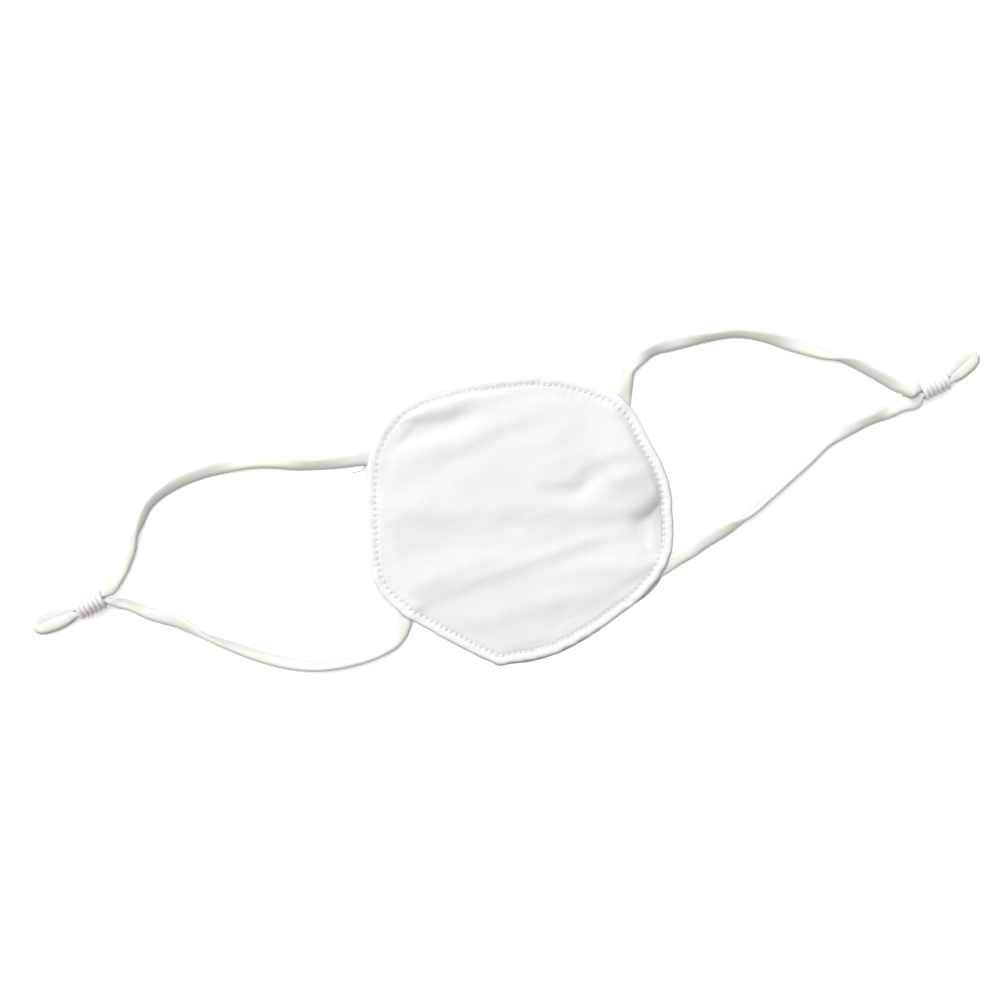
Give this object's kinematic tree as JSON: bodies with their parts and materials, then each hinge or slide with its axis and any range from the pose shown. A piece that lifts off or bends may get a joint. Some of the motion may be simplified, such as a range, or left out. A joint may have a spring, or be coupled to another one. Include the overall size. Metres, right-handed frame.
{
  "type": "face mask",
  "caption": "Flat rounded sewn cloth face mask with a topstitched hem, soft elastic ear cords and ribbed sliding cord adjusters.",
  "frame": {"origin": "middle of the panel's flat back face, on the surface it lies on", "axes": "+Z out of the front cloth, +Y to the nose edge, +X to the right as the front is seen"},
  "size_m": [0.3938, 0.1146, 0.0082],
  "materials": {
    "cloth": "matt white plain-weave cotton",
    "filter": "matt white non-woven",
    "thread": "white sewing thread",
    "cord": "soft ivory knitted elastic",
    "silicone": "semi-gloss warm white silicone"
  },
  "bodies": {
    "panel": {"outer_cloth": "cloth", "filter_layer": "filter", "inner_cloth": "cloth", "turned_edges": "cloth", "closing_seam": "thread", "topstitch": "thread", "bobbin_stitch": "thread", "cord_tacks": "thread", "left_upper_cord_end": "cord", "left_lower_cord_end": "cord", "right_upper_cord_end": "cord", "right_lower_cord_end": "cord", "loose_thread_end": "thread"},
    "left_loop": {"left_ear_cord": "cord"},
    "right_loop": {"right_ear_cord": "cord"},
    "left_adjuster": {"left_adjuster": "silicone"},
    "right_adjuster": {"right_adjuster": "silicone"}
  },
  "joints": [
    {"name": "left_loop_fold", "type": "hinge", "parent": "panel", "child": "left_loop", "pos_m": [-0.0553, 0.003, 0.0011], "axis": [-0.0504, 0.9987, 0], "range_deg": [-100, 120], "deforming": ["left_ear_cord"]},
    {"name": "right_loop_fold", "type": "hinge", "parent": "panel", "child": "right_loop", "pos_m": [0.0557, 0.0067, 0.0011], "axis": [0.0987, -0.9951, 0], "range_deg": [-100, 120], "deforming": ["right_ear_cord"]},
    {"name": "left_adjuster_slide", "type": "slide", "parent": "left_loop", "child": "left_adjuster", "axis": [0.9703, 0.2419, 0], "range_m": [-0.008, 0.02], "deforming": ["left_ear_cord"]},
    {"name": "right_adjuster_slide", "type": "slide", "parent": "right_loop", "child": "right_adjuster", "axis": [-0.9681, -0.2504, 0], "range_m": [-0.008, 0.02], "deforming": ["right_ear_cord"]}
  ]
}
